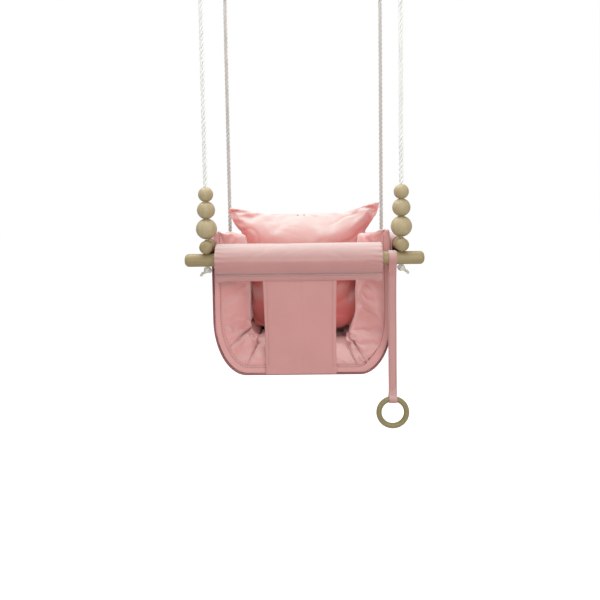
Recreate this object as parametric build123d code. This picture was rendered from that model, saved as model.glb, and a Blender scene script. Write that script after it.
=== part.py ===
"""Toddler bucket swing: two wooden rails, two side rails, a canvas sling with a padded liner,
a back pillow, a padded front guard, four ropes with steel rings, six beads and a teether.

Everything is modelled about the seat: x to the right, y to the back, z up, with z = 0 on the
axes of the side rails. write() then lowers it, so that the origin lies midway between the
centres of the four hanging rings.
"""
import math
import os

from build123d import *

# --- Driving dimensions, millimetres -------------------------------------------------------
GAP = 0.3                      # between bodies that only lie beside each other
HANG_HEIGHT = 580.0            # side-rail axes to hanging-ring centres

RAIL_D = 22.0                  # turned wooden rails
RAIL_LENGTH = 400.0            # front and rear rail
SIDE_RAIL_LENGTH = 316.0
RAIL_Z = -22.2                 # front and rear rail axes, just under the side rails
ROPE_X = 162.5                 # half the distance between left and right ropes
ROPE_Y = 140.0                 # half the distance between front and rear ropes
ROPE_HOLE_D = 9.0

ROPE_D = 8.0
ROPE_FOOT_Z = 15.3             # where the rope bends over the side rail
KNOT_D, KNOT_HEIGHT = 14.0, 11.0
RING_WIRE_D, RING_INNER_D = 8.0, 40.0
WHIPPING_LENGTH, WHIPPING_WALL = 24.0, 1.2

BEAD_DIAMETERS = {"large": 35.0, "medium": 30.0, "small": 25.0}
BEAD_BORE_D = 9.5
FIRST_BEAD_GAP = 1.75          # lets the lowest bead lean with the rope

CANVAS = 1.5                   # canvas thickness
SLING_X = -4.5                 # the sling hangs a little to the left of the frame
SLING_HALF_WIDTH = 155.5
SLING_FRONT, SLING_BACK = -112.0, 127.0
SLING_BOTTOM = -228.0
SLING_CORNER_WIDTH, SLING_CORNER_HEIGHT = 56.0, 98.0
TUNNEL_FRONT, TUNNEL_BACK = -115.0, 120.0
REAR_TUNNEL_HALF_LENGTH = 140.0
TUNNEL_CLEARANCE = 0.3

LINER_HALF_WIDTH = 144.6       # clears the beads when the liner is lifted out
LINER_FRONT, LINER_BACK = -110.0, 126.6
SIDE_PAD_INNER = 113.0
SEAT_PAD_TOP = -178.0
BACK_PAD_FRONT = 108.5
PAD_RIM, FRONT_EAR, BACK_EAR = -8.0, 21.0, 8.0
EAR_START, EAR_END = -62.0, -14.0
BORDER_WIDTH, BORDER_THICKNESS = 18.0, 1.7

PILLOW_FRONT, PILLOW_BACK = 12.0, 107.5
PILLOW_HALF_WIDTH, PILLOW_TIP = 111.0, 150.0
PILLOW_BOTTOM, PILLOW_WAIST, PILLOW_SAG, PILLOW_TOP = -176.0, -4.0, 42.0, 68.0

GUARD_LEFT, GUARD_RIGHT = -146.0, 128.0
GUARD_FOAM_D, GUARD_COVER = 51.5, 1.2
FLANGE_TOP, FLANGE_BOTTOM, FLANGE_THICKNESS = -42.0, -58.0, 5.0
FLANGE_Y = -150.0                # the flange hangs from the lower front of the guard
CROTCH_LEFT, CROTCH_RIGHT, CROTCH_THICKNESS = -70.0, 54.0, 3.0
CROTCH_TOP_Y = FLANGE_Y - 1.0

STRAP_X, STRAP_WIDTH, STRAP_PLY = 147.0, 14.0, 1.2
TEETHER_D, TEETHER_WIRE_D = 56.0, 9.2
TEETHER_Z = -286.0

# --- Worked out from the above --------------------------------------------------------------
RAIL_R = RAIL_D / 2
ROPE_R = ROPE_D / 2
RING_R = (RING_INNER_D + RING_WIRE_D) / 2
RING_FOOT_Z = HANG_HEIGHT - RING_R
SIDES = {"left": -1, "right": 1}
ENDS = {"front": -1, "rear": 1}


def write(name, shape):
    """Lower a shape to the part's own frame and write it as one sub-part."""
    export_step(Pos(0, 0, -HANG_HEIGHT) * shape, f"parts/{name}.step")


def cylinder_x(radius, x_from, x_to, y, z):
    """Cylinder along x."""
    middle = (x_from + x_to) / 2
    return Pos(middle, y, z) * Rot(0, 90, 0) * Cylinder(radius, x_to - x_from)


def cylinder_y(radius, y_from, y_to, x, z):
    """Cylinder along y."""
    middle = (y_from + y_to) / 2
    return Pos(x, middle, z) * Rot(90, 0, 0) * Cylinder(radius, y_to - y_from)


def block(x_from, x_to, y_from, y_to, z_from, z_to):
    """Box between two corners."""
    centre = ((x_from + x_to) / 2, (y_from + y_to) / 2, (z_from + z_to) / 2)
    return Pos(*centre) * Box(x_to - x_from, y_to - y_from, z_to - z_from)


def prism_y(face, y_from, y_to):
    """Extrude a face drawn in the x-z plane from one depth to another."""
    return Pos(0, y_from, 0) * extrude(face, y_to - y_from, dir=(0, 1, 0))


def prism_x(face, x_from, x_to):
    """Extrude a face drawn in the y-z plane from one side to another."""
    return Pos(x_from, 0, 0) * extrude(face, x_to - x_from, dir=(1, 0, 0))


# --- Wooden frame ---------------------------------------------------------------------------
def rounded_rail(length):
    """A rail along z with softly rounded ends."""
    rail = Cylinder(RAIL_R, length)
    return fillet(rail.edges().filter_by(GeomType.CIRCLE), RAIL_R * 0.65)


def drilled(rail):
    """Drill the four rope holes straight down through a rail."""
    holes = [
        Pos(side * ROPE_X, end * ROPE_Y, 0) * Cylinder(ROPE_HOLE_D / 2, 4 * RAIL_D)
        for side in SIDES.values()
        for end in ENDS.values()
    ]
    return rail - holes


def cross_rail(end):
    """Front or rear rail."""
    return drilled(Pos(0, end * ROPE_Y, RAIL_Z) * Rot(0, 90, 0) * rounded_rail(RAIL_LENGTH))


def side_rail(side):
    """Left or right side rail, lying on the front and rear rails."""
    return drilled(Pos(side * ROPE_X, 0, 0) * Rot(90, 0, 0) * rounded_rail(SIDE_RAIL_LENGTH))


# --- Ropes ----------------------------------------------------------------------------------
# Upper strand as (offset to the back, height): up to an eye spliced round its hanging ring.
EYE_R = (RING_WIRE_D + ROPE_D) / 2 + GAP
WHIP_OFFSET = ROPE_R + 0.2
EYE_TOP = RING_FOOT_Z + EYE_R
WHIPPING_Z = RING_FOOT_Z - 38.0
ROPE_ROUTE = [
    (0.0, ROPE_FOOT_Z),
    (0.0, WHIPPING_Z - 43.0),
    (WHIP_OFFSET, WHIPPING_Z - 18.0),
    (WHIP_OFFSET, WHIPPING_Z + 14.0),
    (EYE_R, WHIPPING_Z + 29.0),
    (EYE_R, EYE_TOP),
    (-EYE_R, EYE_TOP),
    (-EYE_R, WHIPPING_Z + 29.0),
    (-WHIP_OFFSET, WHIPPING_Z + 14.0),
    (-WHIP_OFFSET, WHIPPING_Z - WHIPPING_LENGTH / 2),
]
EYE_CORNERS = (5, 6)           # the two corners that go round the ring's wire


def route_radii(points):
    """Arc radius at each corner: the ring's size round the ring, else 0.45 of the shorter run."""
    radii = []
    for i in range(1, len(points) - 1):
        run_in, run_out = points[i] - points[i - 1], points[i + 1] - points[i]
        shorter = min(run_in.length, run_out.length)
        widest = 0.45 * shorter / math.tan(math.radians(run_in.get_angle(run_out) / 2))
        radii.append(EYE_R - 0.05 if i in EYE_CORNERS else widest)
    return radii


def upper_rope(x, y):
    """One rope from the side rail up to the tail of its eye, with a ball at the foot."""
    points = [Vector(x, y + offset, z) for offset, z in ROPE_ROUTE]
    radii = route_radii(points)
    path = FilletPolyline(*points, radius=radii)
    tube = sweep(Plane(origin=points[0], z_dir=(0, 0, 1)) * Circle(ROPE_R), path=path)
    section = math.pi * ROPE_R**2
    print("rope arc radii", [round(radius, 1) for radius in radii])
    print("rope length", round(path.length, 1), "volume ratio", round(tube.volume / section / path.length, 4))
    return tube + Pos(x, y, ROPE_FOOT_Z) * Sphere(ROPE_R)


def rope_foot(x, y):
    """The rope's lower end: through both rails to a stopper knot with a short tail."""
    rail_bottom = RAIL_Z - RAIL_R
    knot_z = rail_bottom - GAP - KNOT_HEIGHT / 2
    through = Pos(x, y, (RAIL_R + knot_z) / 2) * Cylinder(ROPE_R, RAIL_R - knot_z)
    knot = Pos(x, y, knot_z) * Cylinder(KNOT_D / 2, KNOT_HEIGHT)
    knot = fillet(knot.edges().filter_by(GeomType.CIRCLE), KNOT_HEIGHT * 0.42)
    tail = Pos(x, y, knot_z) * Rot(0, 155, 0) * Pos(0, 0, 7) * Cylinder(ROPE_R * 0.7, 11)
    return through + knot + tail


def whipping(x, y):
    """Twine bound round both strands under the eye."""
    half = WHIPPING_WALL + ROPE_R
    spread = SlotCenterToCenter(2 * WHIP_OFFSET, 2 * half, rotation=90)
    sleeve = extrude(spread, WHIPPING_LENGTH)
    strands = [Pos(0, o, 0) * Cylinder(ROPE_R, 4 * WHIPPING_LENGTH) for o in (-WHIP_OFFSET, WHIP_OFFSET)]
    return Pos(x, y, WHIPPING_Z - WHIPPING_LENGTH / 2) * (sleeve - strands)


def hanging_ring(x, y):
    """Welded steel ring that the rope's eye sits in."""
    return Pos(x, y, HANG_HEIGHT) * Rot(90, 0, 0) * Torus(RING_R, RING_WIRE_D / 2)


def bead_heights():
    """Centre height of each bead, stacked upwards from the side rail."""
    heights, top = {}, RAIL_R + FIRST_BEAD_GAP
    for name, diameter in BEAD_DIAMETERS.items():
        heights[name] = top + diameter / 2
        # The bores cut a little off each pole, so the next bead sits that much lower.
        pole = math.sqrt((diameter / 2) ** 2 - (BEAD_BORE_D / 2) ** 2)
        top = heights[name] + pole + GAP
        top -= next_pole_drop(name)
    return heights


def next_pole_drop(name):
    """How far the bore shortens the bead above the named one."""
    names = list(BEAD_DIAMETERS)
    above = names.index(name) + 1
    if above == len(names):
        return 0.0
    radius = BEAD_DIAMETERS[names[above]] / 2
    return radius - math.sqrt(radius**2 - (BEAD_BORE_D / 2) ** 2)


def bead(name, side):
    """Turned wooden bead with a bore for the front rope."""
    ball = Sphere(BEAD_DIAMETERS[name] / 2) - Cylinder(BEAD_BORE_D / 2, 2 * BEAD_DIAMETERS[name])
    return Pos(side * ROPE_X, -ROPE_Y, bead_heights()[name]) * ball


# --- Canvas ---------------------------------------------------------------------------------
def sling_face(inset, top):
    """The sling's U-shaped section, filled, smaller all round by an inset, up to a height."""
    half = SLING_HALF_WIDTH - inset
    bottom = SLING_BOTTOM + inset
    across, up = SLING_CORNER_WIDTH - inset, SLING_CORNER_HEIGHT - inset
    corner_x, corner_z = half - across, bottom + up
    square = Pos(0, (corner_z + top) / 2) * Rectangle(2 * half, top - corner_z)
    floor = Pos(0, (bottom + corner_z) / 2) * Rectangle(2 * corner_x, up)
    corners = [Pos(side * corner_x, corner_z) * Ellipse(across, up) for side in (-1, 1)]
    return Plane.XZ * Pos(SLING_X, 0) * (square + floor + corners)


def side_tunnel(side):
    """Canvas tube sewn round a side rail."""
    inner = RAIL_R + TUNNEL_CLEARANCE
    x = side * ROPE_X
    outer_tube = cylinder_y(inner + CANVAS, TUNNEL_FRONT, TUNNEL_BACK, x, 0)
    return outer_tube - cylinder_y(inner, SLING_FRONT - 50, SLING_BACK + 50, x, 0)


def panel_top(side):
    """Height at which a side panel of the sling meets the middle of its tunnel's wall."""
    wall = RAIL_R + TUNNEL_CLEARANCE + CANVAS / 2
    away = side * SLING_X + SLING_HALF_WIDTH - CANVAS / 2 - ROPE_X
    return -math.sqrt(max(wall**2 - away**2, 0))


def canvas_sling():
    """One cut of canvas: tunnel, side, floor, side, tunnel."""
    shell = sling_face(0, 0) - sling_face(CANVAS, 60)
    sling = prism_y(shell, SLING_FRONT, SLING_BACK)
    for side in SIDES.values():
        near, far = sorted((side * 100 + SLING_X, side * 200 + SLING_X))
        sling -= block(near, far, -200, 200, panel_top(side), 60)
        bore = cylinder_y(RAIL_R + TUNNEL_CLEARANCE, -200, 200, side * ROPE_X, 0)
        sling = (sling + side_tunnel(side)) - bore
    return sling


def canvas_back():
    """Back panel, sewn to the sling and looped round the rear rail."""
    inner = RAIL_R + TUNNEL_CLEARANCE
    y = ROPE_Y - inner
    length = REAR_TUNNEL_HALF_LENGTH
    tube = cylinder_x(inner + CANVAS, -length, length, ROPE_Y, RAIL_Z)
    bore = cylinder_x(inner, -2 * length, 2 * length, ROPE_Y, RAIL_Z)
    upper = block(-length, length, y - CANVAS, y, RAIL_Z - 2 * RAIL_D, RAIL_Z)
    lower = prism_y(sling_face(0, RAIL_Z - RAIL_D), y - CANVAS, y)
    return (tube + upper + lower) - bore


# --- Padded liner ---------------------------------------------------------------------------
def liner_space(y_from, y_to):
    """Room for the liner inside the sling, between two depths."""
    room = prism_y(sling_face(CANVAS + 2 * GAP, 60), y_from, y_to)
    return room & block(-LINER_HALF_WIDTH, LINER_HALF_WIDTH, y_from, y_to, -300, 60)


def side_pad(side):
    """Side of the liner, with an ear at its front top corner."""
    outline = Polyline(
        (LINER_FRONT, SEAT_PAD_TOP),
        (BACK_PAD_FRONT - GAP, SEAT_PAD_TOP),
        (BACK_PAD_FRONT - GAP, PAD_RIM),
        (EAR_END, PAD_RIM),
        (EAR_START, FRONT_EAR),
        (LINER_FRONT, FRONT_EAR),
        close=True,
    )
    near, far = sorted((side * SIDE_PAD_INNER, side * LINER_HALF_WIDTH))
    profile = Plane.YZ * make_face(outline)
    return prism_x(profile, near, far) & liner_space(LINER_FRONT, BACK_PAD_FRONT)


def seat_pad():
    """Bottom of the liner."""
    room = liner_space(LINER_FRONT, BACK_PAD_FRONT - GAP)
    return room & block(-200, 200, -200, 200, -300, SEAT_PAD_TOP - GAP)


def back_pad():
    """Back of the liner, behind the pillow."""
    return liner_space(BACK_PAD_FRONT, LINER_BACK) & block(-200, 200, -200, 200, -300, BACK_EAR)


def front_border():
    """Flat sewn border round the liner's open front edge."""
    front = LINER_FRONT - BORDER_THICKNESS
    band = liner_space(front, LINER_FRONT)
    inner = prism_y(sling_face(CANVAS + 2 * GAP + BORDER_WIDTH, 100), front - 1, LINER_FRONT + 1)
    inside = LINER_HALF_WIDTH - BORDER_WIDTH
    inner &= block(-inside, inside, -200, 200, -300, 100)
    return (band - inner) & block(-200, 200, -200, 200, -300, FRONT_EAR)


def back_pillow():
    """Loose square pillow, pinched between the side pads, with its top corners spread."""
    width = Polyline(
        (-PILLOW_HALF_WIDTH, PILLOW_BOTTOM),
        (PILLOW_HALF_WIDTH, PILLOW_BOTTOM),
        (PILLOW_HALF_WIDTH, PILLOW_WAIST),
        (PILLOW_TIP, PILLOW_TOP),
        (0, PILLOW_SAG),
        (-PILLOW_TIP, PILLOW_TOP),
        (-PILLOW_HALF_WIDTH, PILLOW_WAIST),
        close=True,
    )
    middle = (PILLOW_FRONT + PILLOW_BACK) / 2
    edge = 14.0
    depth = Polyline(
        (middle - 2 * edge, PILLOW_BOTTOM),
        (PILLOW_BACK, PILLOW_BOTTOM + 3 * edge),
        (PILLOW_BACK, PILLOW_WAIST),
        (middle + edge, PILLOW_TOP),
        (middle - edge, PILLOW_TOP),
        (PILLOW_FRONT, PILLOW_WAIST - 3 * edge),
        (PILLOW_FRONT, PILLOW_BOTTOM + 3 * edge),
        close=True,
    )
    front_view = prism_y(Plane.XZ * make_face(width), PILLOW_FRONT, PILLOW_BACK)
    side_view = prism_x(Plane.YZ * make_face(depth), -PILLOW_TIP, PILLOW_TIP)
    return front_view & side_view


# --- Front guard and crotch panel -----------------------------------------------------------
def guard_tube(radius_in, radius_out):
    """Sleeve round the front rail, as long as the guard."""
    tube = cylinder_x(radius_out, GUARD_LEFT, GUARD_RIGHT, -ROPE_Y, RAIL_Z)
    return tube - cylinder_x(radius_in, GUARD_LEFT - 1, GUARD_RIGHT + 1, -ROPE_Y, RAIL_Z)


def guard_foam():
    """Foam tube slipped over the front rail."""
    return guard_tube(RAIL_R + TUNNEL_CLEARANCE, GUARD_FOAM_D / 2)


def guard_cover():
    """Fabric sleeve over the foam, with a flat seam flange hanging under it."""
    inner = GUARD_FOAM_D / 2 + TUNNEL_CLEARANCE
    y_from, y_to = FLANGE_Y - FLANGE_THICKNESS / 2, FLANGE_Y + FLANGE_THICKNESS / 2
    flange = block(GUARD_LEFT, GUARD_RIGHT, y_from, y_to, FLANGE_BOTTOM, FLANGE_TOP)
    sleeve = guard_tube(inner, inner + GUARD_COVER) + flange
    return sleeve - cylinder_x(inner, -200, 200, -ROPE_Y, RAIL_Z)


def crotch_panel():
    """Panel between the leg holes, from the guard's flange to the front of the sling's floor."""
    top_z = FLANGE_BOTTOM - GAP
    foot_y = SLING_FRONT - GAP
    outline = Polyline(
        (CROTCH_TOP_Y, top_z),
        (CROTCH_TOP_Y + CROTCH_THICKNESS, top_z),
        (foot_y, SLING_BOTTOM),
        (foot_y - CROTCH_THICKNESS, SLING_BOTTOM),
        close=True,
    )
    return prism_x(Plane.YZ * make_face(outline), CROTCH_LEFT, CROTCH_RIGHT)


# --- Teether --------------------------------------------------------------------------------
TEETHER_R = (TEETHER_D - TEETHER_WIRE_D) / 2
TEETHER_TOP_Z = TEETHER_Z + TEETHER_R
RAIL_LOOP_R = RAIL_R + 0.4
RING_LOOP_R = TEETHER_WIRE_D / 2 + 1.5


def teardrop(radius, centre_z, tip_z, tip_r):
    """A round loop that narrows to a tip above or below it, in the y-z plane."""
    with BuildSketch(Plane.YZ) as sketch:
        with Locations((-ROPE_Y, centre_z)):
            Circle(radius)
        with Locations((-ROPE_Y, tip_z)):
            Circle(tip_r)
        make_hull()
    return sketch.sketch


def strap_loop(radius, centre_z, tip_z):
    """One end of the strap: a ply thick all round, closing on itself at the tip."""
    outer = teardrop(radius + STRAP_PLY, centre_z, tip_z, STRAP_PLY)
    return outer - teardrop(radius, centre_z, tip_z, 0.05)


def teether_strap():
    """Doubled strap with a loop round the front rail and one through the teether."""
    rail_tip, ring_tip = RAIL_Z - 2.4 * RAIL_R, TEETHER_TOP_Z + 3 * RING_LOOP_R
    doubled = Pos(-ROPE_Y, (rail_tip + ring_tip) / 2) * Rectangle(2 * STRAP_PLY, rail_tip - ring_tip)
    face = Plane.YZ * doubled
    face += strap_loop(RAIL_LOOP_R, RAIL_Z, rail_tip)
    face += strap_loop(RING_LOOP_R, TEETHER_TOP_Z, ring_tip)
    return prism_x(face, STRAP_X - STRAP_WIDTH / 2, STRAP_X + STRAP_WIDTH / 2)


def teether_ring():
    """Turned wooden ring."""
    return Pos(STRAP_X, -ROPE_Y, TEETHER_Z) * Rot(90, 0, 0) * Torus(TEETHER_R, TEETHER_WIRE_D / 2)


# --- Write every sub-part -------------------------------------------------------------------
os.makedirs("parts", exist_ok=True)

write("front_rail", cross_rail(ENDS["front"]))
write("rear_rail", cross_rail(ENDS["rear"]))
write("canvas_sling", canvas_sling())
write("canvas_back_panel", canvas_back())
write("liner_seat_pad", seat_pad())
write("liner_back_pad", back_pad())
write("liner_front_border", front_border())
write("back_pillow", back_pillow())
write("guard_foam", guard_foam())
write("guard_cover", guard_cover())
write("crotch_panel", crotch_panel())
write("teether_strap", teether_strap())
write("teether_ring", teether_ring())

for side_name, side_sign in SIDES.items():
    write(f"{side_name}_side_rail", side_rail(side_sign))
    write(f"liner_{side_name}_pad", side_pad(side_sign))
    for bead_name in BEAD_DIAMETERS:
        write(f"{side_name}_{bead_name}_bead", bead(bead_name, side_sign))
    for end_name, end_sign in ENDS.items():
        corner = (side_sign * ROPE_X, end_sign * ROPE_Y)
        write(f"{end_name}_{side_name}_rope", upper_rope(*corner))
        write(f"{end_name}_{side_name}_rope_knot", rope_foot(*corner))
        write(f"{end_name}_{side_name}_whipping", whipping(*corner))
        write(f"{end_name}_{side_name}_hanging_ring", hanging_ring(*corner))
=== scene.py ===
"""Looks of the toddler bucket swing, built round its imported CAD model.

Metres, x to the right, y to the back, z up, origin midway between the hanging rings.
"""

import math

import bmesh
import bpy
from mathutils import Matrix, Vector, noise
from mathutils.bvhtree import BVHTree


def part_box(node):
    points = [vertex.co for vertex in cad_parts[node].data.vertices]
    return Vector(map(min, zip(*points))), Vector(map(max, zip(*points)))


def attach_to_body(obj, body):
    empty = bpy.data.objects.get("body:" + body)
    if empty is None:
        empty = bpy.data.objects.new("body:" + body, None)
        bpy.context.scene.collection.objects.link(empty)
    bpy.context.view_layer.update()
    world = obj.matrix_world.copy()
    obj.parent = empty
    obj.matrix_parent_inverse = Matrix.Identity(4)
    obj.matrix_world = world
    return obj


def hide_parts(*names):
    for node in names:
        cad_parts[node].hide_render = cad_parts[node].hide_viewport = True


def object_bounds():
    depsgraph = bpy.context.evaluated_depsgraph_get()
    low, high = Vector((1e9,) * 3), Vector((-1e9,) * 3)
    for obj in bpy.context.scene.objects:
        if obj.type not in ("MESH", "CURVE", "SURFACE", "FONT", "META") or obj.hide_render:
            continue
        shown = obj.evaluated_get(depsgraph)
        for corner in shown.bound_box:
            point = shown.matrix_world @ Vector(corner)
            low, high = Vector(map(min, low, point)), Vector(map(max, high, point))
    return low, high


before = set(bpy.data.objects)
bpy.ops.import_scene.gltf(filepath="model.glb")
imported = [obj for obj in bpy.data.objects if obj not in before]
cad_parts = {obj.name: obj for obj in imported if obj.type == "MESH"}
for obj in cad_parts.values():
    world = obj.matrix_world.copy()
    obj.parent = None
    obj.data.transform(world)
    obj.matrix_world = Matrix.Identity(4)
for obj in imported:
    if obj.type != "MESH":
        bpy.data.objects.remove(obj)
CAD_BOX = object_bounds()

MM = 0.001
SIDES = {"left": -1, "right": 1}
ENDS = ("front", "rear")


# --- Places, all from the frame ---
def corners(node):
    """Lowest and highest corner of a CAD node."""
    low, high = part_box(node)
    return Vector(low), Vector(high)


def centre(node):
    """Middle of a CAD node's box."""
    low, high = corners(node)
    return (low + high) / 2


RAIL_R = (corners("front_rail")[1].z - corners("front_rail")[0].z) / 2
SEAT_Z = centre("left_side_rail").z            # axes of the side rails
ROPE_X = centre("right_side_rail").x
ROPE_Y = centre("rear_rail").y
RAIL_Z = centre("front_rail").z                # axes of the front and rear rails


def seat(x, y, z):
    """Point in millimetres about the seat, whose z = 0 is on the side-rail axes."""
    return Vector((x * MM, y * MM, z * MM + SEAT_Z))


# --- Mesh helpers ---
def smoothstep(low, high, value):
    """0 below low, 1 above high, smooth between."""
    t = min(max((value - low) / (high - low), 0.0), 1.0)
    return t * t * (3 - 2 * t)


def linked(name, data):
    """New object with its data, in the scene."""
    item = bpy.data.objects.new(name, data)
    bpy.context.scene.collection.objects.link(item)
    return item


def new_object(name, mesh, material):
    """Link a mesh as a smooth-shaded object."""
    piece = linked(name, mesh)
    mesh.materials.append(material)
    for polygon in mesh.polygons:
        polygon.use_smooth = True
    return piece


def object_from(bm, name, material):
    """Object with the faces of a bmesh, which ends here."""
    mesh = bpy.data.meshes.new(name)
    bm.to_mesh(mesh)
    bm.free()
    return new_object(name, mesh, material)


def skin_rings(bm, rings):
    """Faces between rings of vertices, closed at both ends."""
    count = len(rings[0])
    for lower, upper in zip(rings, rings[1:]):
        for k in range(count):
            after = (k + 1) % count
            bm.faces.new((lower[k], lower[after], upper[after], upper[k]))
    bm.faces.new(rings[0][::-1])
    bm.faces.new(rings[-1])


def attach(piece, body, slot, *nodes):
    """Let a piece ride on a body, and hide the CAD nodes that it stands for; slot is not used."""
    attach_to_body(piece, body)
    if nodes:
        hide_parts(*nodes)


def grid(name, rows, material, wrap_columns=False, caps=False):
    """Quad mesh through rows of points, with a UV map in metres for its weave."""
    bm = bmesh.new()
    uv_layer = bm.loops.layers.uv.new("Weave")
    verts = [[bm.verts.new(point) for point in row] for row in rows]
    n_rows, n_columns = len(rows), len(rows[0])
    down = [0.0]
    for i in range(1, n_rows):
        step = (rows[i][n_columns // 2] - rows[i - 1][n_columns // 2]).length
        down.append(down[-1] + step)
    across = [0.0]
    for j in range(1, n_columns + 1):
        step = (rows[n_rows // 2][j % n_columns] - rows[n_rows // 2][j - 1]).length
        across.append(across[-1] + step)
    for i in range(n_rows - 1):
        for j in range(n_columns if wrap_columns else n_columns - 1):
            places = ((i, j), (i, j + 1), (i + 1, j + 1), (i + 1, j))
            face = bm.faces.new([verts[a][b % n_columns] for a, b in places])
            for loop, (a, b) in zip(face.loops, places):
                loop[uv_layer].uv = (across[b], down[a])
    if caps:
        for row in (verts[0], verts[-1]):
            fan_cap(bm, row, uv_layer)
    bmesh.ops.recalc_face_normals(bm, faces=bm.faces)
    return object_from(bm, name, material)


def fan_cap(bm, ring, uv_layer):
    """Close a ring of vertices with a fan round its middle."""
    middle = sum((v.co for v in ring), Vector()) / len(ring)
    hub = bm.verts.new(middle)
    for a, b in zip(ring, ring[1:] + ring[:1]):
        face = bm.faces.new((a, b, hub))
        for loop in face.loops:
            loop[uv_layer].uv = (loop.vert.co.x, loop.vert.co.y)


def thick_grid(name, rows, thickness, material):
    """Grid with a front and a back surface, closed round its edge: a sheet of real cloth.

    thickness is a function of the row and column number.
    """
    n_rows, n_columns = len(rows), len(rows[0])
    loops = []
    for i in range(n_rows):
        front, back = [], []
        for j in range(n_columns):
            along = rows[min(i + 1, n_rows - 1)][j] - rows[max(i - 1, 0)][j]
            side = rows[i][min(j + 1, n_columns - 1)] - rows[i][max(j - 1, 0)]
            normal = along.cross(side).normalized()
            half = thickness(i, j) / 2
            front.append(rows[i][j] + normal * half)
            back.append(rows[i][j] - normal * half)
        loops.append(front + back[::-1])
    return closed_strip(name, loops, n_columns, material)


def closed_strip(name, loops, n_columns, material):
    """Mesh of flat loops, front then back, whose end loops are zipped shut across."""
    piece = grid(name, loops, material, wrap_columns=True)
    bm = bmesh.new()
    bm.from_mesh(piece.data)
    bm.verts.ensure_lookup_table()
    width = 2 * n_columns
    for first in (0, (len(loops) - 1) * width):
        for j in range(n_columns - 1):
            corners_of_face = (first + j, first + j + 1, first + width - 2 - j, first + width - 1 - j)
            bm.faces.new([bm.verts[k] for k in corners_of_face])
    bmesh.ops.recalc_face_normals(bm, faces=bm.faces)
    for face in bm.faces:
        face.smooth = True
    bm.to_mesh(piece.data)
    bm.free()
    return piece


def apply_modifiers(piece):
    """Turn what a piece's modifiers show into its mesh."""
    graph = bpy.context.evaluated_depsgraph_get()
    shown = bpy.data.meshes.new_from_object(piece.evaluated_get(graph))
    old = piece.data
    piece.modifiers.clear()
    piece.data = shown
    bpy.data.meshes.remove(old)


def subdivide(piece):
    """Smooth a mesh by one subdivision, and keep the result."""
    modifier = piece.modifiers.new("Subdivision", "SUBSURF")
    modifier.levels = 1
    modifier.render_levels = 1
    apply_modifiers(piece)


CLOTH_FRAMES = 20


def inflate(piece, pressure, slack, pinned, cap, stiffness=12.0):
    """Puff a closed mesh with a cloth simulation, and keep the result.

    slack is the extra cloth, as a share; pinned says which vertices stay; cap is the furthest
    that any may move.
    """
    before = [v.co.copy() for v in piece.data.vertices]
    group = piece.vertex_groups.new(name="Pinned")
    for vertex in piece.data.vertices:
        weight = pinned(vertex.co, vertex.index)
        if weight > 0:
            group.add([vertex.index], weight, "REPLACE")
    cloth = piece.modifiers.new("Cloth", "CLOTH")
    settings = cloth.settings
    settings.quality = 5
    settings.mass = 0.25
    settings.tension_stiffness = stiffness
    settings.compression_stiffness = stiffness
    settings.shear_stiffness = stiffness / 3
    settings.bending_stiffness = 0.4
    settings.use_pressure = True
    settings.uniform_pressure_force = pressure
    settings.shrink_min = -slack
    settings.effector_weights.gravity = 0
    settings.vertex_group_mass = "Pinned"
    cloth.collision_settings.use_collision = False
    scene = bpy.context.scene
    cloth.point_cache.frame_start = 1
    cloth.point_cache.frame_end = CLOTH_FRAMES
    for number in range(1, CLOTH_FRAMES + 1):
        scene.frame_set(number)
    apply_modifiers(piece)
    scene.frame_set(1)
    for vertex, old in zip(piece.data.vertices, before):
        move = vertex.co - old
        if move.length > cap:
            vertex.co = old + move * (cap / move.length)
    piece.vertex_groups.clear()


def stitches(name, points, surface, length=3.0 * MM, gap=1.6 * MM, radius=0.45 * MM):
    """A row of thread stitches along points, laid on a surface, as one mesh; their dark thread also paints
    the shade of the seam line.
    """
    tree = surface_tree(surface)
    stops = resample(points, (length + gap) / 2)
    bm = bmesh.new()
    for k in range(0, len(stops) - 1, 2):
        ends = []
        for stop in (stops[k], stops[k].lerp(stops[k + 1], 2 * length / (length + gap) - 0.8)):
            place, normal, _, _ = tree.find_nearest(stop)
            ends.append((place, normal))
        (a, normal), (b, _) = ends
        capsule(bm, a, b, normal, radius)
    return object_from(bm, name, THREAD_AND_SEAM_SHADE)


# Along one stitch: share of its length, lift and thickness in thread radii.
STITCH_PROFILE = ((0, -0.6, 0.5), (0.15, 0.5, 0.9), (0.5, 0.9, 1.0), (0.85, 0.5, 0.9), (1, -0.6, 0.5))
STITCH_SIDES = 6


def capsule(bm, a, b, normal, radius):
    """One stitch: a low loop of thread whose two ends go into the cloth."""
    along = (b - a).normalized()
    side = normal.cross(along).normalized()
    rings = []
    for share, lift, size in STITCH_PROFILE:
        middle = a.lerp(b, share) + normal * (lift * radius)
        ring = []
        for step in range(STITCH_SIDES):
            angle = step * 2 * math.pi / STITCH_SIDES
            out = side * math.cos(angle) + normal * math.sin(angle)
            ring.append(bm.verts.new(middle + out * radius * size))
        rings.append(ring)
    skin_rings(bm, rings)


def resample(points, step):
    """Points evenly spaced along a polyline."""
    result = [points[0].copy()]
    left = step
    for a, b in zip(points, points[1:]):
        run = (b - a).length
        done = 0.0
        while run - done >= left:
            done += left
            result.append(a.lerp(b, done / run))
            left = step
        left -= run - done
    return result


def ripple(point, size, seed=0.0):
    """Smooth noise from -1 to 1 with features of the given size."""
    return noise.noise(point / size + Vector((seed, seed * 1.7, -seed)))


def folds(point, size, seed=0.0):
    """Patchy thin creases: 1 along the middle of one, 0 between them."""
    line = max(1 - abs(ripple(point, size, seed)) * 6, 0.0) ** 1.5
    return line * smoothstep(-0.15, 0.25, ripple(point, size * 2.2, seed + 5))


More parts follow.
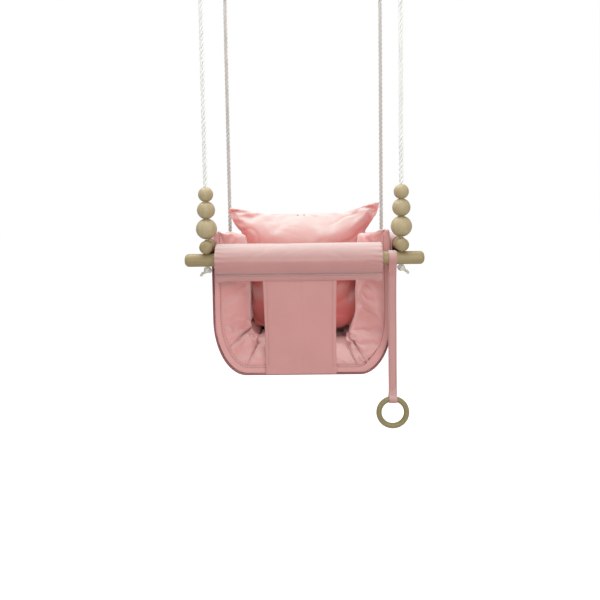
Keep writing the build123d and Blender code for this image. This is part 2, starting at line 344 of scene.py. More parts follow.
def crease(piece, push):
    """Move each vertex along its normal by push(u, v, place); u and v are its Weave map."""
    mesh = piece.data
    layer = mesh.uv_layers["Weave"].data
    maps = [Vector((0, 0))] * len(mesh.vertices)
    for loop in mesh.loops:
        if layer[loop.index].uv.length > maps[loop.vertex_index].length:
            maps[loop.vertex_index] = layer[loop.index].uv.copy()
    moves = [v.normal * push(place.x, place.y, v.co) for v, place in zip(mesh.vertices, maps)]
    for vertex, move in zip(mesh.vertices, moves):
        vertex.co += move
    mesh.update()


def surface_tree(piece):
    """Search tree of a piece's faces."""
    mesh = piece.data
    return BVHTree.FromPolygons([v.co for v in mesh.vertices], [tuple(p.vertices) for p in mesh.polygons])


def press_between(piece, heart, neighbours, gap=0.4 * MM):
    """Pull in what reaches past the first neighbour met on the way out from the piece's heart."""
    trees = [surface_tree(bpy.data.objects[name]) for name in neighbours]
    for vertex in piece.data.vertices:
        out = vertex.co - heart
        reach = out.length
        for tree in trees:
            distance = tree.ray_cast(heart, out, out.length + gap)[3]
            if distance is not None:
                reach = min(reach, distance - gap)
        vertex.co = heart + out.normalized() * reach
    piece.data.update()


# --- Materials ---
def feed(tree, node, inputs):
    """Set a node's inputs: each is a number, a tuple, or a socket to link from."""
    for name, value in inputs.items():
        if isinstance(value, bpy.types.NodeSocket):
            tree.links.new(value, node.inputs[name])
        else:
            node.inputs[name].default_value = value


def new_material(name, settings):
    """Material with its node tree, its shader set up, and object coordinates."""
    material = bpy.data.materials.new(name)
    material.use_nodes = True
    tree = material.node_tree
    shader = tree.nodes["Principled BSDF"]
    feed(tree, shader, settings)
    place = tree.nodes.new("ShaderNodeTexCoord").outputs["Object"]
    return material, tree, shader, place


def add_node(tree, kind, inputs, output=0):
    """New shader node with its inputs set; gives one of its outputs."""
    node = tree.nodes.new("ShaderNode" + kind)
    feed(tree, node, inputs)
    return node.outputs[output]


def add_noise(tree, place, scale, detail=3.0, stretch=(1, 1, 1)):
    """Noise texture, stretched along an axis where its number is small."""
    mapped = add_node(tree, "Mapping", {"Vector": place, "Scale": stretch})
    return add_node(tree, "TexNoise", {"Vector": mapped, "Scale": scale, "Detail": detail}, "Fac")


def add_ramp(tree, value, stops):
    """Colour ramp through (position, colour) stops."""
    ramp = tree.nodes.new("ShaderNodeValToRGB")
    elements = ramp.color_ramp.elements
    for element, (position, colour) in zip(elements, (stops[0], stops[-1])):
        element.position = position
        element.color = (*colour, 1)
    for position, colour in stops[1:-1]:
        element = elements.new(position)
        element.color = (*colour, 1)
    tree.links.new(value, ramp.inputs["Fac"])
    return ramp.outputs["Color"]


def add_mix(tree, kind, factor, first, second):
    """Mix two colours; factor is a number or a socket, and second a colour or a socket."""
    mix = tree.nodes.new("ShaderNodeMix")
    mix.data_type = "RGBA"
    mix.blend_type = kind
    if isinstance(second, tuple):
        second = (*second, 1)
    feed(tree, mix, {"Factor": factor, "A": first, "B": second})
    return mix.outputs["Result"]


def add_math(tree, kind, *values):
    """Arithmetic on sockets and numbers."""
    node = tree.nodes.new("ShaderNodeMath")
    node.operation = kind
    feed(tree, node, dict(enumerate(values)))
    return node.outputs["Value"]


def add_bump(tree, shader, height, distance, strength, after=None):
    """Bump the shader's normal, on top of an earlier bump."""
    inputs = {"Height": height, "Distance": distance, "Strength": strength}
    if after:
        inputs["Normal"] = after
    normal = add_node(tree, "Bump", inputs)
    feed(tree, shader, {"Normal": normal})
    return normal


def shades(colour, *factors):
    """The colour made darker or lighter by each factor."""
    return [tuple(min(channel * factor, 1.0) for channel in colour) for factor in factors]


def add_weave(tree, thread):
    """Height of a plain weave with the given thread spacing, on the Weave UV map."""
    uv = tree.nodes.new("ShaderNodeUVMap")
    uv.uv_map = "Weave"
    waves = []
    for direction in ("X", "Y"):
        wave = tree.nodes.new("ShaderNodeTexWave")
        wave.bands_direction = direction
        feed(tree, wave, {"Vector": uv.outputs["UV"], "Scale": math.pi / 10 / thread,
                          "Distortion": 0.6, "Detail": 1.0})
        waves.append(wave.outputs["Fac"])
    return add_math(tree, "ADD", waves[0], waves[1])


WHITE = (1, 1, 1)
# Pale colour painted onto up-facing cloth: painted light from the overhead lamp.
PAINTED_TOP_LIGHT_COLOUR = (0.56, 0.52, 0.49)


def fabric(name, colour, thread=1.1, relief=0.14, wrinkle=0.5, painted_top_light=0.62, sheen=0.45):
    """Woven cotton: painted lighter where it faces up, for the overhead light, with painted shade in the
    weave's hollows, slubs, thread relief and soft creases.

    thread, relief and wrinkle are in millimetres.
    """
    material, tree, shader, place = new_material(name, {
        "Roughness": 0.9, "Sheen Weight": sheen, "Sheen Roughness": 0.5, "Specular IOR Level": 0.2})
    dark, low, high, pale = shades(colour, 0.84, 0.95, 1.04, 1.12)
    patches = add_ramp(tree, add_noise(tree, place, 14.0, 4.0), [(0.3, low), (0.7, high)])
    slubs = add_ramp(tree, add_noise(tree, place, 900.0, 2.0, (1, 1, 0.3)), [(0.3, dark), (0.75, pale)])
    mixed = add_mix(tree, "MIX", 0.16, patches, slubs)
    weave = add_weave(tree, thread * MM)
    # Darker where the weave is low: painted shade in the weave's hollows.
    weave_hollow_shade = add_ramp(tree, weave, [(0.1, shades(WHITE, 0.86)[0]), (1.0, WHITE)])
    tone_with_weave_shade = add_mix(tree, "MULTIPLY", 0.6, mixed, weave_hollow_shade)
    # Painted light: the colour is mixed toward a pale pink-grey as the surface faces up, for the overhead
    # lamp's pale highlights.
    upward = add_node(tree, "SeparateXYZ", {"Vector": place.node.outputs["Normal"]}, "Z")
    painted_top_light_share = add_node(tree, "MapRange", {"Value": upward, "From Min": -0.2, "To Max": painted_top_light}, "Result")
    feed(tree, shader, {"Base Color": add_mix(tree, "MIX", painted_top_light_share, tone_with_weave_shade, PAINTED_TOP_LIGHT_COLOUR)})
    creases = add_noise(tree, place, 55.0, 5.0)
    first = add_bump(tree, shader, creases, wrinkle * MM, 0.5)
    add_bump(tree, shader, weave, relief * MM, 0.6, first)
    return material


def along_grain(axis, size):
    """Noise stretch that draws features out along one axis."""
    return tuple(size if name == axis else 1.0 for name in "XYZ")


def wood(name, colour, grain_axis):
    """Turned beech: long grain, short dark flecks and faint growth bands."""
    material, tree, shader, place = new_material(name, {
        "Specular IOR Level": 0.4, "Coat Weight": 0.12, "Coat Roughness": 0.35})
    low, high = shades(colour, 0.93, 1.08)
    bands = add_noise(tree, place, 170.0, 3.0, along_grain(grain_axis, 0.07))
    body = add_ramp(tree, bands, [(0.3, low), (0.5, colour), (0.72, high)])
    flecks = add_noise(tree, place, 900.0, 1.0, along_grain(grain_axis, 0.18))
    fleck_colour = add_ramp(tree, flecks, [(0.62, WHITE), (0.74, shades((1, 0.9, 0.78), 0.8)[0])])
    with_flecks = add_mix(tree, "MULTIPLY", 0.6, body, fleck_colour)
    handled = add_ramp(tree, add_noise(tree, place, 22.0, 2.0), [(0.35, (0.93, 0.9, 0.84)), (0.65, WHITE)])
    feed(tree, shader, {"Base Color": add_mix(tree, "MULTIPLY", 0.6, with_flecks, handled),
                        "Roughness": add_math(tree, "MULTIPLY_ADD", bands, 0.18, 0.38)})
    add_bump(tree, shader, bands, 0.12 * MM, 0.5)
    return material


def rope_fibre(name, colour):
    """Twisted cotton yarn: fine fibres and a little dirt in the lay."""
    material, tree, shader, place = new_material(name, {
        "Roughness": 0.95, "Sheen Weight": 0.4, "Specular IOR Level": 0.2})
    dark, low, high = shades(colour, 0.8, 0.94, 1.04)
    fibres = add_noise(tree, place, 1400.0, 2.0, (1, 1, 0.25))
    body = add_ramp(tree, fibres, [(0.3, low), (0.7, high)])
    soiled = add_ramp(tree, add_noise(tree, place, 30.0, 3.0), [(0.35, dark), (0.6, high)])
    feed(tree, shader, {"Base Color": add_mix(tree, "MIX", 0.3, body, soiled)})
    add_bump(tree, shader, fibres, 0.25 * MM, 0.8)
    return material


def steel(name):
    """Lightly brushed stainless steel."""
    material, tree, shader, place = new_material(name, {"Metallic": 1.0})
    brushed = add_noise(tree, place, 700.0, 2.0, (1, 0.1, 1))
    colour = add_ramp(tree, brushed, [(0.3, (0.52, 0.53, 0.55)), (0.7, (0.7, 0.71, 0.72))])
    worn = add_math(tree, "MULTIPLY_ADD", add_noise(tree, place, 60.0), 0.25, 0.2)
    feed(tree, shader, {"Base Color": colour, "Roughness": worn})
    add_bump(tree, shader, brushed, 0.03 * MM, 0.5)
    return material


def foam(name):
    """Off-white closed-cell foam."""
    material, tree, shader, place = new_material(name, {"Roughness": 0.85})
    distance = add_node(tree, "TexVoronoi", {"Vector": place, "Scale": 900.0}, "Distance")
    # Darker at the cell centres, where the bump sinks pits: painted shade in the pits.
    colour = add_ramp(tree, distance, [(0.0, (0.58, 0.57, 0.54)), (0.5, (0.8, 0.79, 0.75))])
    feed(tree, shader, {"Base Color": colour})
    add_bump(tree, shader, distance, 0.4 * MM, 0.7)
    return material


def lit_or_shaded_pink(factor):
    """The canvas pink, made darker or lighter: a lit or shaded copy of the one cloth colour."""
    return shades(PINK, factor)[0]


# Liner, guard, panel, sling and strap are one pink cloth. Their colours are lit and shaded copies of it,
# painting the light each part gets: the liner about 1.2 times and the panel 1.06 times lighter, the strap,
# guard and sling darker.
PINK = (0.62, 0.298, 0.281)
LINER_CLOTH = fabric("liner_cotton", (0.745, 0.355, 0.335), painted_top_light=0.42)
# The pillow's pink is deeper than the cloth's to paint the deep red shade seen through the leg holes; full
# painted top light makes its top pale.
PILLOW_CLOTH = fabric("pillow_cotton", (0.79, 0.265, 0.248), thread=0.9, painted_top_light=1.0, sheen=0.3)
GUARD_CLOTH = fabric("guard_cotton", lit_or_shaded_pink(0.9), relief=0.18, wrinkle=0.3)
PANEL_CLOTH = fabric("panel_cotton", lit_or_shaded_pink(1.06), relief=0.18, wrinkle=0.3)
SLING_CLOTH = fabric("sling_canvas", lit_or_shaded_pink(0.83), thread=1.4, relief=0.25, wrinkle=0.3)
STRAP_CLOTH = fabric("strap_webbing", lit_or_shaded_pink(0.94), thread=0.9, relief=0.2, wrinkle=0.2)
# Near-black maroon thread: real stitches whose dark colour also paints the shade along the seam lines and
# folds.
THREAD_AND_SEAM_SHADE = fabric("sewing_thread_seam_shade", (0.20, 0.065, 0.065), thread=0.5, relief=0.05, painted_top_light=0.0, sheen=0.0)
# Near-black maroon cloth for the cord along the canvas edge: painted shade of the gap between canvas and
# liner.
EDGE_SHADE_CLOTH = fabric("edge_shade_line", (0.36, 0.075, 0.09), thread=0.6, relief=0.1, painted_top_light=0.0, sheen=0.0)
# The rear ropes are the same cotton as the front ones; their grey colour paints the shade they hang in.
COTTON = {"front": rope_fibre("white_cotton", (0.92, 0.92, 0.885)),
          "rear": rope_fibre("rear_cotton_painted_shade", (0.62, 0.58, 0.54))}
KNOT_COTTON = rope_fibre("knot_cotton", (0.66, 0.63, 0.55))
TWINE = rope_fibre("waxed_twine", (0.55, 0.50, 0.41))
RAIL_WOOD = {axis: wood(f"rail_beech_{axis}", (0.335, 0.26, 0.13), axis) for axis in "XY"}
BEAD_WOOD = wood("bead_beech", (0.43, 0.352, 0.205), "Z")
TEETHER_WOOD = wood("teether_beech", (0.265, 0.215, 0.10), "X")
STEEL = steel("ring_steel")
FOAM = foam("guard_foam")


def dress(node, material):
    """Give a CAD node's object a new material."""
    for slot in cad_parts[node].material_slots:
        slot.material = material


# --- Camera ---
def make_camera():
    """Camera in front of the guard, a little above the rails."""
    camera = linked("camera", bpy.data.cameras.new("camera"))
    distance, height, aside = 0.964, 0.071, 0.0143      # from the middle of the front rail
    turn, down, lean = math.radians(1.23), math.radians(4.0), math.radians(-0.877)
    place = Matrix.Translation((aside, -ROPE_Y - distance, SEAT_Z + height))
    aim = Matrix.Rotation(turn, 4, "Z") @ Matrix.Rotation(math.pi / 2 - down, 4, "X")
    camera.matrix_world = place @ aim @ Matrix.Rotation(lean, 4, "Z")
    camera.data.lens = 34.7
    camera.data.shift_y = -0.094
    bpy.context.scene.camera = camera


make_camera()


# --- Ropes ---
# Each rope from the side rail to the tail of its eye, as (offset to the back, height).
ROPE_ROUTE = [
    (0.0, -0.5647),
    (0.0, -0.1300),
    (0.0, -0.1050),
    (0.0042, -0.0800),
    (0.0042, -0.0480),
    (0.0083, -0.0330),
    (0.0083, -0.0157),
    (-0.0083, -0.0157),
    (-0.0083, -0.0330),
    (-0.0042, -0.0480),
    (-0.0042, -0.0740),
]
ROPE_D = 8.0 * MM


def spline_points(points):
    """Points read from the smooth line that a cord's route controls."""
    curve = bpy.data.curves.new("route", "CURVE")
    curve.dimensions = "3D"
    curve.resolution_u = 24
    spline = curve.splines.new("NURBS")
    spline.points.add(len(points) - 1)
    for control, point in zip(spline.points, points):
        control.co = (*point, 1)
    spline.order_u = 3
    spline.use_endpoint_u = True
    holder = linked("route", curve)
    mesh = bpy.data.meshes.new_from_object(holder)
    line = [v.co.copy() for v in mesh.vertices]
    bpy.data.objects.remove(holder)
    bpy.data.meshes.remove(mesh)
    return line


def frames_along(line):
    """Tangent and two steady normals at each point of a line."""
    tangents = []
    for i in range(len(line)):
        tangents.append((line[min(i + 1, len(line) - 1)] - line[max(i - 1, 0)]).normalized())
    normal = Vector((1, 0, 0))
    result = []
    for tangent in tangents:
        normal = (normal - tangent * normal.dot(tangent)).normalized()
        result.append((tangent, normal, tangent.cross(normal)))
    return result


def twisted(name, line, diameter, material, strands=3, lay=3.4, sides=9):
    """Laid rope along a line: strands that wind round it, rounded off at both ends."""
    strand_r = diameter / 2 / (1 + 1 / math.sin(math.pi / strands))
    wind_r = diameter / 2 - strand_r
    frames = frames_along(line)
    bm = bmesh.new()
    total = sum((b - a).length for a, b in zip(line, line[1:]))
    for strand in range(strands):
        rings = []
        done = 0.0
        for i, (point, (_, normal, other)) in enumerate(zip(line, frames)):
            if i:
                done += (point - line[i - 1]).length
            near_end = min(done, total - done) / (diameter * 0.4)
            size = math.sqrt(max(1 - (1 - min(near_end, 1)) ** 2, 0.04))
            angle = 2 * math.pi * (done / (lay * diameter) + strand / strands)
            heart = point + (normal * math.cos(angle) + other * math.sin(angle)) * wind_r * size
            ring = []
            for k in range(sides):
                turn = angle + 2 * math.pi * k / sides
                out = normal * math.cos(turn) + other * math.sin(turn)
                ring.append(bm.verts.new(heart + out * strand_r * size))
            rings.append(ring)
        skin_rings(bm, rings)
    bmesh.ops.recalc_face_normals(bm, faces=bm.faces)
    return object_from(bm, name, material)


def tube(name, line, radius, material, sides=10):
    """Plain round tube along a line."""
    rows = []
    angles = [2 * math.pi * k / sides for k in range(sides)]
    for point, (_, normal, other) in zip(line, frames_along(line)):
        rows.append([point + (normal * math.cos(a) + other * math.sin(a)) * radius for a in angles])
    return grid(name, rows, material, wrap_columns=True, caps=True)


def join(name, pieces):
    """Join meshes into the first one."""
    bm = bmesh.new()
    for piece in pieces:
        bm.from_mesh(piece.data)
    for polygon in bm.faces:
        polygon.smooth = True
    bm.to_mesh(pieces[0].data)
    bm.free()
    for piece in pieces[1:]:
        bpy.data.objects.remove(piece)
    pieces[0].name = name
    return pieces[0]


def make_whipping(corner, end):
    """Twine wound tight round both strands of an eye."""
    low, high = corners(f"{corner}_whipping")
    middle = (low + high) / 2
    half_x, half_y = (high.x - low.x) / 2, (high.y - low.y) / 2
    turns, sides = 14, 28
    steps = turns * 8
    rows = []
    for i in range(steps + 1):
        share = i / steps
        radius = half_x + 0.35 * MM * abs(math.sin(math.pi * share * turns)) - 0.25 * MM
        z = low.z + (high.z - low.z) * share
        row = []
        for k in range(sides):
            angle = 2 * math.pi * k / sides
            across, along = radius * math.cos(angle), radius * math.sin(angle)
            if abs(math.sin(angle)) > 1e-6:
                along += math.copysign(half_y - half_x, math.sin(angle))
            row.append(Vector((middle.x + across, middle.y + along, z)))
        rows.append(row)
    piece = grid(f"{corner}_whipping_twine", rows, TWINE, wrap_columns=True, caps=True)
    attach(piece, f"{end}_ropes", "whipping_twine", f"{corner}_whipping")
    return piece


def make_knot(corner, side):
    """Stopper knot under the rail, its tail, and the rope up through both rails."""
    top = corners(f"{corner}_rope_knot")[1].z
    x, y = side * ROPE_X, centre(f"{corner}_hanging_ring").y
    knot = Vector((x, y, RAIL_Z - RAIL_R - 6.0 * MM))
    loop = []
    steps = 72
    for i in range(steps + 1):
        t = 2 * math.pi * (i % steps) / steps
        flat = Vector((math.sin(t) + 2 * math.sin(2 * t), math.cos(t) - 2 * math.cos(2 * t), 0)) * 1.45 * MM
        loop.append(knot + flat + Vector((0, 0, -math.sin(3 * t) * 2.3 * MM)))
    body = tube("knot", loop, 2.85 * MM, KNOT_COTTON)
    through = [Vector((x, y, knot.z + (top - knot.z) * k / 24)) for k in range(25)]
    upper = twisted("through", through, ROPE_D, KNOT_COTTON)
    tail_line = []
    for k in range(9):
        share = k / 8
        drop = -2 - 8.0 * share**1.6
        tail_line.append(knot + Vector((side * (2 + 10.5 * share), -2.0 * share, drop)) * MM)
    tail = twisted("tail", resample(tail_line, 1.2 * MM), 5.6 * MM, KNOT_COTTON)
    piece = join(f"{corner}_stopper_knot", [body, upper, tail])
    attach(piece, "seat", "cotton_rope", f"{corner}_rope_knot")


def make_rope(end, side_name, side):
    """One rope with its eye, whipping and knot."""
    corner = f"{end}_{side_name}"
    x, y = side * ROPE_X, centre(f"{corner}_hanging_ring").y
    line = resample(spline_points([(x, y + offset, z) for offset, z in ROPE_ROUTE]), 1.6 * MM)
    foot = line[0] - Vector((0, 0, ROPE_D * 0.46))
    piece = twisted(f"{corner}_cotton_rope", resample([foot] + line, 1.6 * MM), ROPE_D, COTTON[end])
    whipping = make_whipping(corner, end)
    make_knot(corner, side)
    attach(piece, f"{end}_ropes", "cotton_rope", f"{corner}_rope")
    dress(f"{corner}_hanging_ring", STEEL)


for end_name in ENDS:
    for side_name, side_sign in SIDES.items():
        make_rope(end_name, side_name, side_sign)


# --- Wooden parts keep their CAD shape ---
for end_name in ENDS:
    dress(f"{end_name}_rail", RAIL_WOOD["X"])
for side_name in SIDES:
    dress(f"{side_name}_side_rail", RAIL_WOOD["Y"])
    for size in ("large", "medium", "small"):
        dress(f"{side_name}_{size}_bead", BEAD_WOOD)
dress("teether_ring", TEETHER_WOOD)
dress("guard_foam", FOAM)


# --- The sling's section, shared by canvas and liner ---
# Millimetres about the seat; the sling hangs a little to the left of the frame.
BACK_LOW, BACK_HIGH = corners("canvas_back_panel")
HALF_WIDTH = (BACK_HIGH.x - BACK_LOW.x) / 2 / MM
MIDDLE_X = (BACK_HIGH.x + BACK_LOW.x) / 2 / MM
FLOOR_Z = (corners("canvas_sling")[0].z - SEAT_Z) / MM
CORNER_WIDTH, CORNER_HEIGHT = 56.0, 98.0
SLING_FRONT, SLING_BACK = -112.0, BACK_LOW.y / MM + 0.8


def corner_at(inset):
    """Radii across and up of the U's corner at an inset, and where its centre lies."""
    across, up = CORNER_WIDTH - 0.5 * inset, CORNER_HEIGHT - 0.6 * inset
    return across, up, HALF_WIDTH - inset - across, FLOOR_Z + inset + up


def u_stations(side_steps=14, corner_steps=22, floor_steps=24):
    """Stations along the U, down its left, along its floor and up its right."""
    stations = [("side", -1, i / side_steps) for i in range(side_steps)]
    stations += [("corner", 90.0 * i / corner_steps, None) for i in range(corner_steps)]
    stations += [("floor", i / floor_steps, None) for i in range(floor_steps + 1)]
    stations += [("corner", 90 + 90.0 * i / corner_steps, None) for i in range(1, corner_steps + 1)]
    stations += [("side", 1, 1 - i / side_steps) for i in range(1, side_steps + 1)]
    return stations


def u_point(station, inset, top):
    """Point (x, z) of one station of the U, at an inset from its outside, with its top height."""
    kind, value, share = station
    across, up, corner_x, corner_z = corner_at(inset)
    if kind == "side":
        x = MIDDLE_X + value * (HALF_WIDTH - inset)
        return x, top + (corner_z - top) * share
    if kind == "corner":
        side = -1 if value <= 90 else 1
        angle = math.radians(value if value <= 90 else 180 - value)
        return MIDDLE_X + side * (corner_x + across * math.cos(angle)), corner_z - up * math.sin(angle)
    return MIDDLE_X - corner_x + 2 * corner_x * value, FLOOR_Z + inset


# --- Canvas sling and back ---
CANVAS = 1.5
TUNNEL_R = RAIL_R / MM + 1.05
HEM = 9.0
STITCH_Z, BACK_STITCH_Z = -30.0, -50.0         # seams under the side and rear tunnels


def u_line(y, inset, top, stations=None):
    """Line round the U at one depth, through all of its stations or the ones given."""
    flat = [u_point(station, inset, top) for station in stations or u_stations()]
    return [seat(x, y, z) for x, z in flat]


def round_rail(stitch, rail, outward, hem=10.0, steps=22):
    """Canvas that goes up from a stitch line, over a rail, and back down beside itself.

    stitch and rail are (across, height) in millimetres; outward is the side it goes up on.
    """
    dx, dz = stitch[0] - rail[0], stitch[1] - rail[1]
    away = math.hypot(dx, dz)
    base = math.atan2(dz, dx)
    spread = math.acos(min(TUNNEL_R / away, 1.0))
    start = base + outward * spread
    turn = 2 * math.pi - 2 * spread
    points = [stitch]
    for i in range(steps + 1):
        angle = start + outward * turn * i / steps
        points.append((rail[0] + TUNNEL_R * math.cos(angle), rail[1] + TUNNEL_R * math.sin(angle)))
    inner = (stitch[0] - outward * 1.7, stitch[1] + 0.5)
    return points + [inner, (inner[0], inner[1] - hem)]


def sling_rows():
    """Rows of the canvas sling, one per depth."""
    left_stitch = (MIDDLE_X - HALF_WIDTH + CANVAS / 2, STITCH_Z)
    right_stitch = (MIDDLE_X + HALF_WIDTH - CANVAS / 2, STITCH_Z)
    left = round_rail(left_stitch, (-ROPE_X / MM, 0.0), -1)
    right = round_rail(right_stitch, (ROPE_X / MM, 0.0), 1)
    middle = [u_point(s, CANVAS / 2, STITCH_Z) for s in u_stations()][1:-1]
    path = left[::-1] + middle + right
    n_left, n_right = len(left), len(right)
    rows = []
    depth_steps = 46
    for i in range(depth_steps + 1):
        share = i / depth_steps
        row = []
        for j, (x, z) in enumerate(path):
            tunnel = j < n_left or j >= len(path) - n_right
            front = -115.0 if tunnel else SLING_FRONT
            back = 120.0 if tunnel else SLING_BACK
            y = front + (back - front) * share
            point = seat(x, y, z)
            if not tunnel:
                inward = Vector((MIDDLE_X - x, 0, -100 - z)).normalized()
                amount = ripple(point, 0.07, 3.0) * 1.1 + ripple(point, 0.03, 5.0) * 0.35
                point += inward * amount * MM * smoothstep(0, 0.12, share) * smoothstep(0, 0.12, 1 - share)
            row.append(point)
        rows.append(row)
    return rows


def make_sling():
    """The canvas sling with its hems, and the stitching under its tunnels and along its hems."""
    rows = sling_rows()
    last = len(rows) - 1

    def thickness(i, _):
        depth = min(i, last - i) * (SLING_BACK - SLING_FRONT) / last
        return (CANVAS + 0.9 * (1 - smoothstep(HEM - 4, HEM, depth))) * MM

    piece = thick_grid("canvas_sling_cloth", rows, thickness, SLING_CLOTH)
    subdivide(piece)
    attach(piece, "seat", "sling_canvas", "canvas_sling")
    seams = []
    for side in SIDES.values():
        x = MIDDLE_X + side * (HALF_WIDTH + 1)
        line = [seat(x, y, -29.0) for y in range(-110, 119, 4)]
        seams.append(stitches(f"tunnel_seam_{side}", line, piece))
    for depth in (SLING_FRONT + HEM - 1.5, SLING_BACK - HEM + 1.5):
        seams.append(stitches(f"hem_seam_{depth:.0f}", u_line(depth, -1.0, -34.0), piece))
    attach(join("canvas_sling_stitching", seams), "seat", "sling_canvas")
    # A dark cord along the canvas's front edge: painted shade of the gap between the canvas and the liner.
    edge = u_line(SLING_FRONT - 0.6, 0.9, -36.0)
    edge_shade_cord = tube("canvas_edge_binding", edge, 0.95 * MM, EDGE_SHADE_CLOTH, sides=8)
    attach(edge_shade_cord, "seat", "sling_canvas")


def back_half_width(z):
    """Half the back panel's width at a height, in millimetres."""
    corner_z = FLOOR_Z + CORNER_HEIGHT
    wide = HALF_WIDTH - 1.0
    if z < corner_z:
        drop = min((corner_z - z) / CORNER_HEIGHT, 1.0)
        return HALF_WIDTH - CORNER_WIDTH + (CORNER_WIDTH - 1.0) * math.sqrt(1 - drop**2)
    return wide - 15.0 * smoothstep(-66, -40, z)


def make_back():
    """Back panel: over the rear rail, down the back and sewn to the sling all round."""
    stitch = (SLING_BACK + 1.2, BACK_STITCH_Z)
    rail = (ROPE_Y / MM, (RAIL_Z - SEAT_Z) / MM)
    tunnel = round_rail(stitch, rail, 1)
    path = tunnel[::-1]
    steps = 40
    for i in range(1, steps + 1):
        share = i / steps
        drop = (FLOOR_Z + 0.6 - BACK_STITCH_Z) * math.sin(share * math.pi / 2)
        path.append((stitch[0], BACK_STITCH_Z + drop))
    rows = []
    columns = 48
    n_tunnel = len(tunnel)
    for j, (y, z) in enumerate(path):
        half = 140.0 if j < n_tunnel else back_half_width(z)
        row = []
        for k in range(columns + 1):
            across = -1 + 2 * k / columns
            middle = MIDDLE_X * smoothstep(-80, -40, z) if j < n_tunnel else MIDDLE_X
            point = seat(middle + half * across, y, z)
            if j >= n_tunnel:
                inside = smoothstep(0, 0.25, 1 - abs(across)) * smoothstep(FLOOR_Z, FLOOR_Z + 40, z)
                amount = 2.2 + ripple(point, 0.08, 9.0) * 1.6 + ripple(point, 0.03, 2.0) * 0.4
                point.y += amount * inside * MM
            row.append(point)
        rows.append(row)
    piece = thick_grid("canvas_back_cloth", rows, lambda i, j: CANVAS * MM, SLING_CLOTH)
    subdivide(piece)
    attach(piece, "seat", "sling_canvas", "canvas_back_panel")
    line = [seat(x, SLING_BACK + 4, -49.0) for x in range(-136, 137, 4)]
    seams = [stitches("back_tunnel_seam", line, piece)]
    outline = []
    for i in range(60):
        z = -60 + (FLOOR_Z + 7 + 60) * math.sin(math.pi / 2 * i / 59)
        outline.append((back_half_width(z) - 6.0, z))
    line = [seat(MIDDLE_X - half, SLING_BACK + 4, z) for half, z in outline]
    line += [seat(MIDDLE_X + half, SLING_BACK + 4, z) for half, z in outline[::-1]]
    seams.append(stitches("back_edge_seam", line, piece))
    attach(join("canvas_back_stitching", seams), "seat", "sling_canvas")


make_sling()
make_back()


# --- Padded liner ---
LINER_GAP = 2.4                # from the sling's outside to the liner's
PAD = 40.0                     # thickness of the pads
FLANGE = 13.0                  # flat border round the front edge
LINER_FRONT, LINER_BACK = -111.0, 108.0
LINER_SEAMS = (38.5, 81.0, 92.0, 112.0)        # angles round the U of the sewn corner seams
BULGE = 8.0                    # how much thicker the pads are round the leg holes
ROUNDING = 52.0                # depth of the pads' rounded front
SEAM_AT = 0.8                  # seam share from which a row is sewn down
SEAM_GROOVE, SEAM_DEPTH = 7.0, 9.0
GUARD_REACH, PANEL_REACH = -62.0, 75.0         # how low the guard hangs, and half the panel's room
TUNNEL_CLEAR = (TUNNEL_R + 1.5) * MM           # nearest that the liner comes to a side rail's axis


def rim_height(y):
    """Height of the liner's side rim at a depth: an ear at the front, low at the back."""
    return -6.0 + 32.0 * (1 - smoothstep(-72, -18, y)) + 10.0 * smoothstep(70, 104, y)


def liner_section():
    """Closed loop of (inset, depth) round the liner's padding, from the outer front edge."""
    face = LINER_FRONT - 0.9
    loop = [(0.0, face + 0.6)]
    loop += [(FLANGE * k / 6, face - 0.5 * math.sin(math.pi * k / 6)) for k in range(1, 6)]
    loop += [(FLANGE - 0.8, face + 0.8), (FLANGE, face + 3.4)]
    loop += [(FLANGE + 1.0, face + 0.9), (FLANGE + 3.0, face)]
    for k in range(1, 19):
        angle = math.pi / 2 * k / 18
        inset = FLANGE + 3.0 + (PAD + BULGE - FLANGE - 3.0) * math.sin(angle)
        loop.append((inset, face + ROUNDING * (1 - math.cos(angle))))
    depth_from = face + ROUNDING
    steps = 26
    for k in range(1, steps + 1):
        y = depth_from + (LINER_BACK - 8 - depth_from) * k / steps
        loop.append((PAD + BULGE * (1 - smoothstep(depth_from, depth_from + 45, y)), y))
    loop += [(PAD - 3, LINER_BACK - 2.5), (PAD - 9, LINER_BACK)]
    loop += [(PAD / 2, LINER_BACK + 0.4), (3.0, LINER_BACK)]
    steps = 34
    for k in range(steps):
        loop.append((0.0, LINER_BACK - 3 - (LINER_BACK - 3 - LINER_FRONT - 2) * k / steps))
    return loop


def seam_share(station):
    """How deep in a sewn corner seam a station of the U lies, from 0 to 1."""
    kind, value, _ = station
    if kind == "corner":
        turn = value
    elif kind == "floor":
        turn = 88.0 + 4.0 * value
    else:
        return 0.0
    nearest = min(abs(turn - seam) for seam in LINER_SEAMS)
    return max(1 - nearest / SEAM_GROOVE, 0.0)


def liner_rows(stations, section_loop):
    """Rows of the padded U, one per station."""
    rows = []
    for i, station in enumerate(stations):
        groove = seam_share(station)
        from_end = min(i, len(stations) - 1 - i)
        end_round = math.sqrt(1 - (1 - min(from_end / 5.0, 1.0)) ** 2)
        row = []
        for inset, y in section_loop:
            padded = max(inset - FLANGE, 0) / (PAD - FLANGE)
            depth = inset - groove**1.4 * SEAM_DEPTH * padded
            if station[0] == "side":
                rim = rim_height(y)
                height = rim + (FLOOR_Z + CORNER_HEIGHT - rim) * station[2]
                depth *= 1 + 0.28 * smoothstep(-60, -10, height)
            if from_end < 5:
                depth = depth * (0.3 + 0.7 * end_round) + (1 - end_round) * 6.0 * (inset < 1)
            x, z = u_point(station, LINER_GAP + depth, rim_height(y))
            row.append(seat(x, y, z))
        rows.append(row)
    return rows


